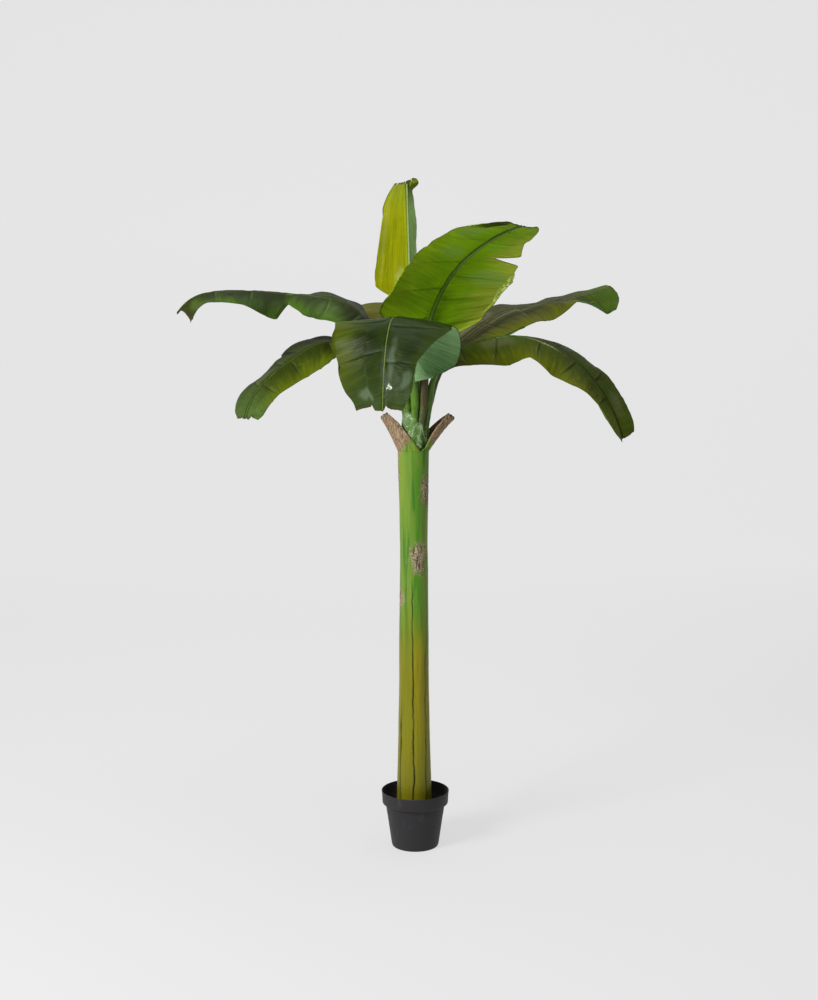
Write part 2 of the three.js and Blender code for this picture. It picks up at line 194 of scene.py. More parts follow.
POT_PROFILE = [
    (0.0670, 0.0), *arc((0.0705, 0.0035), 0.0035, -80, -15), (0.0755, 0.008),
    (0.0880, 0.095), (0.0912, 0.114), (0.0934, 0.132),
    *arc((0.0984, 0.1345), 0.005, 170, 100), *arc((0.1008, 0.1435), 0.004, -70, -8),
    (0.1060, 0.168), *arc((0.1061, POT_TOP - LIP_RADIUS), LIP_RADIUS, 0, 180, 7),
    (0.1031, 0.168), (0.1008, 0.146), (0.0955, 0.139), (0.0905, 0.130), (0.0850, 0.095), (0.0725, 0.008),
    (0.0700, 0.0042), (0.0600, 0.004), (0.020, 0.004),
]


def turned(name, profile):
    """A round piece, extruded ring by ring along its profile of (radius, height)."""
    deselect()
    bpy.ops.mesh.primitive_circle_add(
        vertices=ROUND_SIDES, radius=profile[0][0], fill_type="NGON", location=(0, 0, profile[0][1]))
    bpy.ops.object.transform_apply(location=True)
    piece = bpy.context.object
    piece.name = piece.data.name = name
    mode("EDIT")
    for (radius, height), (next_radius, next_height) in zip(profile, profile[1:]):
        bpy.ops.mesh.extrude_region_move(TRANSFORM_OT_translate={"value": (0, 0, next_height - height)})
        ratio = next_radius / radius
        bpy.ops.transform.resize(value=(ratio, ratio, 1))
    bpy.ops.mesh.select_all(action="SELECT")
    bpy.ops.mesh.normals_make_consistent(inside=False)
    mode("OBJECT")
    bpy.ops.object.shade_smooth_by_angle(angle=math.radians(40))
    return piece


def hand_in(piece, material, node):
    """The piece rides on the tree's one body and stands for its node."""
    if material:
        piece.data.materials.append(material)
    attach(piece, "root")
    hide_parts(node)


def times(first, second):
    return calc("MULTIPLY", first, second)


def noise(vector, scale, detail, **settings):
    sockets = {"Vector": vector, "Scale": scale, "Detail": detail}
    return add("TexNoise", sockets, **settings).outputs["Fac"]


def grain(scale, detail, stretch=1):
    """Noise that is fixed to the piece. A stretch below 1 draws it out upright."""
    place = add("TexCoord", {}).outputs["Object"]
    place = add("Mapping", {"Vector": place, "Scale": (1, 1, stretch)}).outputs["Vector"]
    return noise(place, scale, detail)


def surface(color, roughness, height, depth, shine=0.5):
    """Ends the finish with its shader, and with a bump of about that depth."""
    bump = add("Bump", {"Height": height, "Distance": depth, "Strength": 1.0})
    shader = add("BsdfPrincipled", {
        "Base Color": color, "Roughness": roughness, "Specular IOR Level": shine,
        "Normal": bump.outputs["Normal"]})
    add("OutputMaterial", {"Surface": shader.outputs["BSDF"]})
    return finish


def pot_finish():
    new_finish("black_nursery_plastic")
    cloud = grain(9, 4)
    scuff = reach(grain(60, 5, 0.25), 0.56, 0.78)
    color = mixed(cloud, (34, 32, 34), (44, 42, 44))
    color = mixed(times(scuff, 0.3), color, (74, 72, 72))
    return surface(color, spread(cloud, 0.52, 0.68), grain(1400, 2), 0.00025, 0.3)


hand_in(turned("pot_moulding", POT_PROFILE), pot_finish(), "pot")

# Filling
# The pot is weighted with cement, poured round the foot of the trunk and stained nearly black. Its
# top is rough, and rounded down a little at the trunk and at the wall.
FILL_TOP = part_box("filling")[1].z
SOCKET_RADIUS, SOCKET_FLOOR = 0.0575, 0.045
FILL_PROFILE = [
    (0.0695, 0.0045), (0.0722, 0.008), (0.0845, 0.095), (0.0866, FILL_TOP - 0.004),
    *((radius, FILL_TOP - 0.001) for radius in np.linspace(0.0860, SOCKET_RADIUS + 0.0005, 12)),
    (SOCKET_RADIUS, FILL_TOP - 0.006), (SOCKET_RADIUS, SOCKET_FLOOR), (0.02, SOCKET_FLOOR),
]
WAVE_ROWS = 97


def ripple(across, upward, seed, period=89):
    """Smooth random waves from -1 to 1, one to each unit. They repeat after a period across."""
    lattice = np.random.default_rng(seed).uniform(-1, 1, (WAVE_ROWS, period))
    row, column = np.floor(upward).astype(int), np.floor(across).astype(int)
    up, over = upward - row, across - column
    up, over = up * up * (3 - 2 * up), over * over * (3 - 2 * over)
    column, next_column = column % period, (column + 1) % period
    below, above = (
        lattice[level % WAVE_ROWS, column] * (1 - over) + lattice[level % WAVE_ROWS, next_column] * over
        for level in (row, row + 1))
    return below * (1 - up) + above * up


def points_of(piece):
    """x, y and z of all the vertices, as they are now."""
    points = np.empty(len(piece.data.vertices) * 3)
    piece.data.vertices.foreach_get("co", points)
    return points.reshape(-1, 3).T


def shaped(piece, place):
    """Moves all vertices at once: place turns their x, y and z into new ones. Returns the old ones."""
    start = points_of(piece)
    piece.data.vertices.foreach_set("co", np.column_stack(place(*start)).ravel())
    piece.data.update()
    return start


def rough_top(x, y, z):
    lump = 0.0016 * ripple(x * 90, y * 90, 4) + 0.0008 * ripple(x * 260, y * 260, 5)
    return x, y, z + np.where(z > FILL_TOP - 0.0045, lump - 0.001, 0)


def cement_finish():
    new_finish("stained_cement")
    speck = grain(300, 5)
    color = mixed(speck, (12, 11, 10), (34, 31, 27))
    return surface(color, 0.95, speck, 0.0015)


filling = turned("cement_filling", FILL_PROFILE)
shaped(filling, rough_top)
hand_in(filling, cement_finish(), "filling")

# Trunk
# A hard foam core in a painted skin of overlapping leaf sheaths. It is fresh green above and olive
# below, with dark cracks where one sheath laps the next and rough brown scars of fallen leaves.
TRUNK_FOOT, TRUNK_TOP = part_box("trunk")[0].z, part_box("trunk")[1].z
TRUNK_AXIS = [(TRUNK_FOOT, -0.003), (TRUNK_TOP, -0.006)]
TRUNK_RADIUS = [(TRUNK_FOOT, 0.0560), (0.162, 0.0550), (0.310, 0.0510), (0.473, 0.0480), (0.668, 0.0460),
                (0.850, 0.0440), (0.971, 0.0425), (1.113, 0.0450), (TRUNK_TOP, 0.0485)]
# Each sheath's free edge: its bearing in degrees at some heights, and the height where it runs out.
SHEATH_EDGES = [
    ([(0.2, -91), (0.3, -90), (0.45, -94), (0.85, -98)], 0.90),
    ([(0.2, -45), (0.6, -41), (0.9, -25)], 0.99),
    ([(0.1, -18), (0.9, -8)], 0.80),
    ([(0.1, 38), (0.8, 30)], 1.05),
    ([(0.1, 92), (0.9, 100)], 0.86),
    ([(0.1, 160), (0.9, 148)], 1.12),
    ([(0.1, -143), (0.9, -150)], 0.52),
]
# Leaf scars: bearing, height, half width in degrees, half height.
SCARS = [(-20, 1.146, 44, 0.046), (-66, 0.937, 46, 0.048), (118, 1.05, 40, 0.045), (65, 0.74, 42, 0.042),
         (-170, 0.80, 34, 0.036), (175, 1.19, 30, 0.035)]
CRACK_WIDTH = [(0.2, 0.0027), (0.6, 0.0022), (0.75, 0.0013)]
CRACK_DEPTH, LAP_HEIGHT = 0.0028, 0.0016
STRIPE_BEARING, STRIPE_SPREAD, STRIPE_FOOT = -72, 24, 0.30
FULL_TURN = 2 * math.pi


def clamp(value):
    return np.clip(value, 0, 1)


def near(off, width):
    """1 at no distance, and fading away over the width."""
    return np.exp(-((off / width) ** 2))


def along(stations, x):
    """Value at x of rows of a place and a value, along straight lines."""
    return np.interp(x, [row[0] for row in stations], [row[1] for row in stations])


def cylinder(name, sides, cuts):
    """A cylinder one high and one in radius, cut across into many levels, ready to be shaped."""
    deselect()
    bpy.ops.mesh.primitive_cylinder_add(vertices=sides, radius=1, depth=1, location=(0, 0, 0.5))
    bpy.ops.object.transform_apply(location=True)
    piece = bpy.context.object
    piece.name = piece.data.name = name
    for count in cuts:
        mode("EDIT")
        bpy.ops.mesh.select_mode(type="EDGE")
        bpy.ops.mesh.select_all(action="DESELECT")
        mode("OBJECT")
        heights = [vertex.co.z for vertex in piece.data.vertices]
        for edge in piece.data.edges:
            edge.select = abs(heights[edge.vertices[0]] - heights[edge.vertices[1]]) > 1e-5
        mode("EDIT")
        bpy.ops.mesh.subdivide(number_cuts=count)
        mode("OBJECT")
    return piece


def write_map(piece, name, *channels):
    """Stores up to four values from 0 to 1 at each vertex, for the piece's finish."""
    values = np.zeros((len(piece.data.vertices), 4))
    for k, channel in enumerate(channels):
        values[:, k] = channel
    piece.data.color_attributes.new(name, "FLOAT_COLOR", "POINT").data.foreach_set("color", values.ravel())


def read_map(name):
    fields = add("Attribute", {}, attribute_name=name)
    parts = add("SeparateColor", {"Color": fields.outputs["Color"]})
    return [parts.outputs[k] for k in range(3)] + [fields.outputs["Alpha"]]


def turn_from(angle, bearing):
    """Angle past a bearing in degrees, as radians from -pi to pi."""
    return (angle - np.radians(bearing) + math.pi) % FULL_TURN - math.pi


def bark(angle, height):
    """Relief of the bark, and how far each spot is in a crack or a scar."""
    turn = angle / FULL_TURN % 1
    radius = along(TRUNK_RADIUS, height)
    relief = 0.0011 * ripple(turn * 5, height * 4, 11, 5) + 0.0006 * ripple(turn * 14, height * 9, 12, 14)
    relief += (0.00028 * ripple(turn * 80, height * 22, 13, 80)
               + 0.00016 * ripple(turn * 60, height * 170, 14, 60))
    crack = np.zeros_like(angle)
    for k, (edge, top) in enumerate(SHEATH_EDGES):
        wander = 0.0012 * ripple(0, height * 60, 20 + k) + 0.0020 * ripple(0, height * 17, 40 + k)
        gap = turn_from(angle, along(edge, height)) * radius + wander
        alive = clamp((top - height) / 0.12)
        deep = alive * (0.72 + 0.28 * ripple(0, height * 35, 60 + k))
        line = near(gap, along(CRACK_WIDTH, height)) * deep
        relief += alive * LAP_HEIGHT * np.where(gap < 0, np.exp(gap / 0.016), -0.6 * np.exp(-gap / 0.012))
        relief -= CRACK_DEPTH * line
        crack = np.maximum(crack, line)
    scar = np.zeros_like(angle)
    for k, (bearing, middle, wide, tall) in enumerate(SCARS):
        span = np.hypot(np.degrees(turn_from(angle, bearing)) / wide, (height - middle) / tall)
        ragged = (0.26 * ripple(turn * 30, height * 50, 80 + k, 30)
                  + 0.20 * ripple(turn * 80, height * 150, 90 + k, 80))
        scar = np.maximum(scar, clamp((1.22 - span + ragged) / 0.55))
    pits = ripple(turn * 88, height * 240, 97, 88)
    relief += scar * (0.0007 * pits + 0.0005 * ripple(turn * 70, height * 60, 98, 70) - 0.0002)
    return relief, crack, scar


def withered_at(x, y, z):
    """How far the sheath is dried brown round the stubs: from a slanting line on, on either side."""
    line = np.where(x < 0, 1.222 + 1.55 * clamp(x + 0.056), 1.335 - 1.25 * clamp(x))
    wander = 0.012 * ripple((x + 1) * 160, z * 70, 71) + 0.010 * ripple((y + 1) * 70, z * 25, 72)
    return clamp((z - line + wander) / 0.045)


def angle_and_height(x, y, z, foot, top):
    """Angle round a cylinder one high, and height where it is to stand between a foot and a top."""
    return np.arctan2(y, x), foot + z * (top - foot)


def trunk_place(x, y, z):
    angle, height = angle_and_height(x, y, z, TRUNK_FOOT, TRUNK_TOP)
    radius = along(TRUNK_RADIUS, height) + bark(angle, height)[0]
    return along(TRUNK_AXIS, height) + radius * np.cos(angle), radius * np.sin(angle), height


def sheath_green():
    """Fresh green skin in upright bands, as on the upper trunk and the feet of the stubs."""
    fine = grain(150, 4, 0.05)
    band = grain(48, 2, 0.08)
    green = mixed(fine, (82, 120, 20), (116, 142, 52))
    green = mixed(reach(band, 0.52, 0.64), green, (62, 112, 26))
    return mixed(reach(band, 0.46, 0.34), green, (112, 138, 42))


def dry_brown():
    """Dead brown fibre, as in the leaf scars and on the stubs."""
    fibre = grain(300, 5, 0.16)
    brown = mixed(reach(fibre, 0.3, 0.7), (94, 74, 54), (164, 144, 114))
    return mixed(reach(grain(70, 3), 0.50, 0.66), brown, (140, 104, 84))


def shifted_by(value, cloud, amount):
    """The value, moved up where the cloud is above a half and down where it is below."""
    return calc("ADD", value, times(calc("SUBTRACT", cloud, 0.5), amount))


def bark_finish():
    """Olive below and green above, with a stripe, specks, brown scars, withered parts and dark cracks."""
    new_finish("painted_sheath_bark")
    height = place_on("Z")
    crack, scar, stripe, withered = read_map("bark")
    streak, speck = grain(95, 4, 0.06), grain(420, 4)
    shifted = shifted_by(height, grain(22, 3, 0.16), 0.34)
    olive = mixed(streak, (100, 102, 0), (134, 128, 10))
    color = mixed(reach(shifted, 0.56, 0.84), olive, sheath_green())
    stripe_tone = mixed(reach(height, 0.60, 0.78), (148, 136, 0), (56, 128, 18))
    color = mixed(times(stripe, 0.7), color, stripe_tone)
    foot = times(reach(shifted, 0.34, 0.10), 0.5)
    color = mixed(foot, color, (92, 84, 10))
    specks = times(reach(speck, 0.60, 0.70), reach(height, 0.9, 0.3))
    color = mixed(times(specks, 0.55), color, (70, 62, 20))
    gash = reach(grain(230, 3, 0.16), 0.50, 0.60)
    brown = mixed(reach(grain(300, 4), 0.35, 0.65), (94, 82, 58), (182, 168, 134))
    brown = mixed(times(gash, 0.8), brown, (66, 48, 38))
    color = mixed(scar, color, brown)
    color = mixed(withered, color, dry_brown())
    color = mixed(crack, color, (38, 32, 10))
    rough = mixed(scar, (0.42, 0.42, 0.42, 1), (0.9, 0.9, 0.9, 1))
    fine = calc("ADD", times(speck, 0.6), streak)
    return surface(color, rough, fine, 0.0009, 0.25)


trunk = cylinder("trunk_bark", 192, (20, 20))
start = shaped(trunk, trunk_place)
angles, heights = angle_and_height(*start, TRUNK_FOOT, TRUNK_TOP)
_, cracks, scars = bark(angles, heights)
swerve = 5 * ripple(angles * 2, heights * 7, 16)
stripe = clamp(1 - np.abs(np.degrees(turn_from(angles, STRIPE_BEARING)) + swerve) / STRIPE_SPREAD) ** 0.5
above_foot = clamp((heights - STRIPE_FOOT) / 0.14)
patches = clamp(0.8 + 0.5 * ripple(angles * 6, heights * 12, 15))
write_map(trunk, "bark", cracks, scars, stripe * above_foot * patches, withered_at(*points_of(trunk)))
bpy.ops.object.shade_smooth_by_angle(angle=math.radians(60))
hand_in(trunk, bark_finish(), "trunk")

# Neck
# The bundle of leaf stalks that comes out of the trunk, wrapped in crumpled film. It is grooved
# between one stalk and the next, more so towards the top.
NECK_FOOT, NECK_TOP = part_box("neck")[0].z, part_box("neck")[1].z
NECK_AXIS = [(NECK_FOOT, -0.006), (NECK_TOP, 0.005)]
NECK_RADIUS = [(NECK_FOOT, 0.0395), (1.300, 0.0402), (1.341, 0.0420), (1.378, 0.0455), (NECK_TOP, 0.0470)]
STALKS_ROUND_NECK = 9
FIRST_STALK, DEAD_STALK = -100, -60
STALK_RING, STALK_RADIUS = 0.036, 0.0125
GROOVE_DEPTH, LARGE_FOLD, SMALL_FOLD = 0.0035, 0.0030, 0.0014
BULGE_HEIGHT, BULGE_LEVEL = 0.004, 1.325


def crumple(angle, height):
    """Sharp folds of the film that run askew round the neck, from 0 to 1."""
    turn = angle / FULL_TURN % 1
    large = 1 - np.abs(ripple(turn * 8, height * 42 + 4 * np.sin(angle), 31, 8)) * 2
    small = 1 - np.abs(ripple(turn * 20, height * 95 + 3 * np.sin(2 * angle), 32, 20)) * 2
    return clamp(large) ** 3, clamp(small) ** 3


def film_cover(angle, height):
    """1 where the film still wraps the bundle, 0 above its torn edge, which is highest on the left."""
    turn = angle / FULL_TURN % 1
    edge = 1.366 + 0.030 * np.cos(turn_from(angle, -150)) + 0.016 * ripple(turn * 14, 0, 33, 14)
    return clamp((edge - height) / 0.010)


def neck_place(x, y, z):
    angle, height = angle_and_height(x, y, z, NECK_FOOT, NECK_TOP)
    spacing = FULL_TURN / STALKS_ROUND_NECK
    off = (turn_from(angle, FIRST_STALK) + spacing / 2) % spacing - spacing / 2
    chord = STALK_RADIUS ** 2 - (STALK_RING * np.sin(off)) ** 2
    tube = np.maximum(STALK_RING * np.cos(off) + np.sqrt(np.maximum(chord, 0)), STALK_RING - 0.001)
    wrapped = along(NECK_RADIUS, height)
    large, small = crumple(angle, height)
    cover = film_cover(angle, height)
    bare = tube * wrapped / NECK_RADIUS[-1][1]
    film = wrapped - GROOVE_DEPTH * (1 - np.cos(off) ** 40) + LARGE_FOLD * large + SMALL_FOLD * small - 0.001
    bulge = BULGE_HEIGHT * np.exp(-((turn_from(angle, 0) / 0.6) ** 2) - ((height - BULGE_LEVEL) / 0.025) ** 2)
    radius = bare + (film + bulge - bare) * (0.25 + 0.75 * cover) * clamp((NECK_TOP - height) / 0.02)
    return along(NECK_AXIS, height) + radius * np.cos(angle), radius * np.sin(angle), height


def stalk_tones():
    """Streaked green of the fresh stalks and brown of the dead ones."""
    streak = grain(130, 4, 0.12)
    return (mixed(streak, (46, 88, 8), (98, 136, 34)),
            mixed(streak, (46, 44, 20), (92, 82, 46)))


def film_finish():
    """Green stalks, brown where dead, under clouded film, with painted shade in grooves and painted
    highlights on folds.
    """
    new_finish("crumpled_stalk_film")
    fold, groove_shade, cover, dead = read_map("film")
    cloud = grain(55, 3)
    green, brown = stalk_tones()
    green = mixed(dead, green, brown)
    milky = mixed(cloud, (50, 98, 20), (112, 142, 84))
    color = mixed(times(cover, reach(cloud, 0.25, 0.75)), green, milky)
    # Painted shade in the grooves between the stalks.
    color = mixed(times(groove_shade, 0.8), color, (30, 44, 6))
    # Painted highlights on the crests of the film's folds.
    color = mixed(times(fold, times(cover, 0.5)), color, (190, 206, 176))
    return surface(color, 0.3, grain(160, 4), 0.0016, 0.45)


neck = cylinder("stalk_bundle", 180, (9, 9))
start = shaped(neck, neck_place)
angles, heights = angle_and_height(*start, NECK_FOOT, NECK_TOP)
large, small = crumple(angles, heights)
covered = film_cover(angles, heights)
stalk_gap_shade = np.abs(np.sin(turn_from(angles, FIRST_STALK) * STALKS_ROUND_NECK / 2)) ** 8
dead = clamp(1.4 - np.abs(np.degrees(turn_from(angles, DEAD_STALK))) / 14) * (1 - 0.8 * covered)
# The map holds the painted fold highlights, the painted shade in the grooves, the film's cover and the dead
# stalk.
write_map(neck, "film", clamp(large + 0.6 * small), stalk_gap_shade * (1 - 0.8 * covered), covered, dead)
bpy.ops.object.shade_smooth_by_angle(angle=math.radians(50))
hand_in(neck, film_finish(), "neck")

# Stubs
# The cut feet of two old leaves. Each is a dry sheath that leaves the trunk as a wide scoop and
# narrows to a thick sawn end; it is still green where it starts, and brown and fibrous above.
STUB_FOOT_RADIUS, STUB_END_RADIUS = 0.0460, 0.0165
STUB_FOOT_THICK, STUB_END_THICK = 0.0055, 0.0180
STUB_END_TILT = 35
# Reach from the trunk's axis, rise, and how far the scoop spreads to the front and the back, in degrees,
# at places from 0 at its foot to 1 at its end.
STUBS = {
    "left": dict(
        side=-1, reach=0.094, rise=0.107, back=[(0, 78), (0.3, 60), (1, 88)],
        front=[(0, 117), (0.2, 106), (0.45, 101), (0.7, 100), (1, 92)]),
    "right": dict(
        side=1, reach=0.119, rise=0.105, back=[(0, 100), (0.3, 90), (1, 88)],
        front=[(0, 62), (0.1, 50), (0.3, 58), (0.6, 68), (1, 82)]),
}


def stub_place(stub):
    def place(x, y, z):
        angle = np.arctan2(y, x)
        radius = STUB_FOOT_RADIUS + (STUB_END_RADIUS - STUB_FOOT_RADIUS) * z ** 1.5
        thick = STUB_FOOT_THICK + (STUB_END_THICK - STUB_FOOT_THICK) * z
        outward = STUB_FOOT_RADIUS + (stub["reach"] - STUB_FOOT_RADIUS) * (0.85 * z + 0.15 * z * z)
        front, back = np.radians(along(stub["front"], z)), np.radians(along(stub["back"], z))
        bend = back - (front + back) * (1 - np.cos(angle)) / 2
        fibre = 0.0011 * ripple(bend * 14, z * 5, 51) + 0.0007 * ripple(bend * 40, z * 16, 52)
        ragged = 0.006 * ripple(bend * 9, 0, 53) * clamp((z - 0.9) / 0.1)
        rounded = np.sign(np.sin(angle)) * np.abs(np.sin(angle)) ** 0.35
        here = radius + thick / 2 * rounded + fibre
        inward = radius - here * np.cos(bend)
        tilt = math.radians(STUB_END_TILT) * z
        return (TRUNK_AXIS[1][1] + stub["side"] * (outward - inward * np.cos(tilt)),
                here * np.sin(bend),
                TRUNK_TOP + 0.0003 + stub["rise"] * z + inward * np.sin(tilt) + ragged)
    return place


def fibre_finish():
    """Green and brown sheath with painted shade inside the scoop, a paler rim and a streaked sawn end."""
    new_finish("dry_stub_fibre")
    withered, inner_shade, edge, sawn = read_map("fibre")
    streak = grain(260, 5, 0.18)
    color = mixed(withered, sheath_green(), dry_brown())
    # Painted shade inside the scoop.
    color = mixed(times(inner_shade, 0.2), color, (60, 48, 32))
    color = mixed(times(edge, 0.5), color, (142, 138, 78))
    cut = mixed(streak, (96, 78, 52), (196, 178, 140))
    color = mixed(times(sawn, 0.7), color, cut)
    return surface(color, 0.85, streak, 0.0016, 0.25)


stub_fibre = fibre_finish()
for name, stub in STUBS.items():
    piece = cylinder("stub_" + name + "_sheath", 96, (9, 9))
    _, sine, level = shaped(piece, stub_place(stub))
    # Channels: withered, painted shade inside the scoop, rim and sawn end.
    write_map(piece, "fibre", withered_at(*points_of(piece)), clamp(-sine * 3) * (level < 0.97),
              clamp(1 - np.abs(sine) * 5) * (level < 0.9), clamp((level - 0.96) / 0.04))
    if stub["side"] < 0:
        mode("EDIT")
        bpy.ops.mesh.select_all(action="SELECT")
        bpy.ops.mesh.normals_make_consistent(inside=False)
        mode("OBJECT")
    bpy.ops.object.shade_smooth_by_angle(angle=math.radians(50))
    hand_in(piece, stub_fibre, "stub_" + name)

# Leaves
# Ten leaves of printed cloth, each glued over a wired stalk that runs on under the blade as its rib.
# The blades are thin, glossy above and dull beneath, with pressed cross folds, fine slanted veins,
# wavy margins and ragged brown tips. Nine stalks stand round the neck and one in its middle.
STALK_FOOT = NECK_TOP + 0.0003
RIB_STEPS = 160
LEAF_ACROSS, LEAF_ALONG = 96, 230
SHOULDER = 0.07
NARROWEST_HALF = 0.003
BLADE_THICK = 0.0016
RIB_GROOVE_DEPTH, RIB_GROOVE_WIDTH = 0.0024, 0.0065
FOLD_DEPTH, FOLD_LINE, FOLD_RIDGE = 0.0045, 0.0026, 0.0062
VEIN_SPACING, ROW_SPACING, BAND_SPACING = 0.0042, 0.010, 0.022
BROWN_TIP = 0.008
NUDGE = 0.002
ROD_SHARE = 0.965


def eased(stations, x, which):
    """As along, for the value at that number in each row, and eased from one place to the next."""
    places, values = (np.array([row[k] for row in stations], float) for k in (0, which))
    k = np.clip(np.searchsorted(places, x) - 1, 0, len(places) - 2)
    part = clamp((x - places[k]) / (places[k + 1] - places[k]))
    return values[k] + (values[k + 1] - values[k]) * part * part * (3 - 2 * part)


def rib_of(leaf):
    """The rib as rows of points, forward, up out of the leaf, and right, evenly along the leaf."""
    places = np.linspace(0, 1, RIB_STEPS + 1)
    lean, roll = (np.radians(along(rows, places))[:, None] for rows in (leaf.lean, leaf.roll))
    bearing, foot_bearing = math.radians(leaf.bearing), math.radians(leaf.foot)
    heading, upright = np.array([math.cos(bearing), math.sin(bearing), 0]), np.array([0, 0, 1])
    forward = np.sin(lean) * heading + np.cos(lean) * upright
    level = np.sin(lean) * upright - np.cos(lean) * heading
    beside = np.cross(forward, level)
    step = (leaf.stalk + leaf.blade) / RIB_STEPS
    points = np.zeros_like(forward)
    points[1:] = np.cumsum((forward[1:] + forward[:-1]) * step / 2, axis=0)
    points += (NECK_AXIS[1][1] + leaf.foot_out * math.cos(foot_bearing),
               leaf.foot_out * math.sin(foot_bearing), STALK_FOOT)
    up = level * np.cos(roll) + beside * np.sin(roll)
    right = beside * np.cos(roll) - level * np.sin(roll)
    return points, forward, up, right


def on_rib(leaf, rib, distance):
    """Point, forward, up and right at each distance from the stalk's foot."""
    place = clamp(distance / (leaf.stalk + leaf.blade)) * RIB_STEPS
    k = np.minimum(place.astype(int), RIB_STEPS - 1)
    part = (place - k)[:, None]
    return [rows[k] * (1 - part) + rows[k + 1] * part for rows in rib]


def half_width(leaf, side, s):
    """Half width of the blade at place s, with its tears and a little unevenness."""
    rise = np.sin(clamp(s / SHOULDER) * math.pi / 2) ** 0.7
    body = 1 - leaf.taper * clamp(s) ** 1.4
    blunt = np.sqrt(1 - (0.93 * clamp((s - leaf.tip) / (1 - leaf.tip))) ** 2)
    width = leaf.half[side == "right"] * rise * body * blunt
    for place, depth, before, after in leaf.tears[side == "right"]:
        nearness = 1 - np.abs(s - place) / np.where(s < place, before, after)
        width = width * (1 - depth * clamp(nearness))
    uneven = 1 + 0.012 * ripple(0, s * leaf.blade / 0.035, leaf.seed + (side == "right"))
    return np.maximum(width * uneven, NARROWEST_HALF)


def blade_point(leaf, rib, s, t):
    """Points of the blade at place s along it and t across it, from -1 at the left to 1."""
    point, forward, up, right = on_rib(leaf, rib, leaf.stalk + s * leaf.blade)
    spots = np.empty_like(point)
    hemmed_side, hem_start, hem = leaf.hem
    for side, here in (("left", t < 0), ("right", t >= 0)):
        place, half = s[here], leaf.half[side == "right"]
        distance = np.abs(t[here]) * half_width(leaf, side, place)
        fold = np.radians(eased(getattr(leaf, side), place, 1))
        bend = np.radians(eased(getattr(leaf, side), place, 2)) / half + 1e-6
        distance *= 1 + hem * clamp((place - hem_start) / 0.06) * (side == hemmed_side)
        flat = np.minimum(distance, half_width(leaf, side, place))
        out = (np.sin(fold + bend * flat) - np.sin(fold)) / bend - 0.92 * (distance - flat)
        down = (np.cos(fold) - np.cos(fold + bend * flat)) / bend + 0.25 * (distance - flat)
        out *= 1 if side == "right" else -1
        spots[here] = (point[here] + right[here] * out[:, None] - up[here] * down[:, None]
                       + forward[here] * (leaf.slant * distance)[:, None])
    return spots


def relief_of(leaf, s, t):
    """Height of the blade's relief, how near each spot is to the rib, and to a fold's dark line.

    The last is painted shade on that line, and below 0 a painted highlight on the ridge beside it.
    """
    seed, length = leaf.seed, leaf.blade
    width = np.where(t < 0, half_width(leaf, "left", s), half_width(leaf, "right", s))
    distance = np.abs(t) * width
    rib_near = near(distance, RIB_GROOVE_WIDTH)
    height = -RIB_GROOVE_DEPTH * rib_near
    fold_shade_and_highlight = np.zeros_like(s)
    for side, folds, askew in zip((t < 0, t >= 0), leaf.folds, leaf.askew):
        strength = side * clamp((np.abs(t) - 0.03) / 0.1) * clamp((1.02 - np.abs(t)) / leaf.fading)
        for k, place in enumerate(folds):
            arch = place - (leaf.slant + askew) * distance / length
            arch = arch + 0.03 * t * t * math.sin(seed + 3 * k)
            off = (s - arch) * length
            # The dark line and the trail behind it are painted shade; the ridge beside it is a painted
            # highlight.
            trail_shade = near(off, FOLD_LINE) + 0.3 * (off > 0) * np.exp(-off / 0.03)
            ridge_highlight = near(off + FOLD_RIDGE, FOLD_LINE)
            ridge_highlight = ridge_highlight * (0.5 + 0.5 * ripple(t * 4 + 10, s * 9, seed + 13))
            fold_shade_and_highlight += strength * (trail_shade - 0.9 * ridge_highlight)
            height -= strength * (FOLD_DEPTH * np.exp(np.where(off < 0, off / 0.004, -off / 0.026)))
    side_seed = np.where(t < 0, 0, 40)
    swell = ripple(np.abs(t) * 1.6 + side_seed, s * length / 0.11, seed + 5)
    wave = ripple(side_seed, s * length / 0.055, seed + 6)
    height += 0.0030 * swell * clamp(np.abs(t) * 2) + 0.0055 * wave * np.abs(t) ** 3
    height += 0.0006 * ripple(np.abs(t) * 5 + side_seed, s * length / 0.012, seed + 7)
    return height * clamp(s / 0.05), rib_near, fold_shade_and_highlight


def painted_light_shade_of(leaf, s, t):
    """Patches of painted light and shade on the blade, from 0 to 1 with 0.5 for none."""
    total = 0 * s
    for place, across, tall, wide, strength, *soft in leaf.tints:
        slanted = 0.4 * leaf.slant * (np.abs(t) - abs(across)) * leaf.half[0] / leaf.blade
        span = np.hypot((s + slanted - place) / tall, (t - across) / wide)
        ragged = 0.2 * ripple(t * 5 + 10, s * 30, leaf.seed + 12)
        total = total + strength * clamp((1 - span + ragged) / (soft[0] if soft else 0.6))
    return 0.5 + 0.5 * np.clip(total, -1, 1)


def tip_cut(leaf, t):
    """Share of the blade that is left at each place across, with the ragged end cut off."""
    seed = leaf.seed
    lobes = 0.5 + 0.5 * ripple(t * 2.6 + 8, 0, seed + 8) + 0.16 * ripple(t * 17 + 20, 0, seed + 9)
    slits = near(ripple(t * 3.1 + 30, 0, seed + 10), 0.16)
    end = 0.4 * (1 - leaf.taper) * max(leaf.half)
    ragged = leaf.ragged * (0.6 * lobes + leaf.slits * slits)
    worn = along(leaf.worn, t) + leaf.lopsided * t
    return 1 - ragged - worn - leaf.slant * end * np.abs(t) / leaf.blade


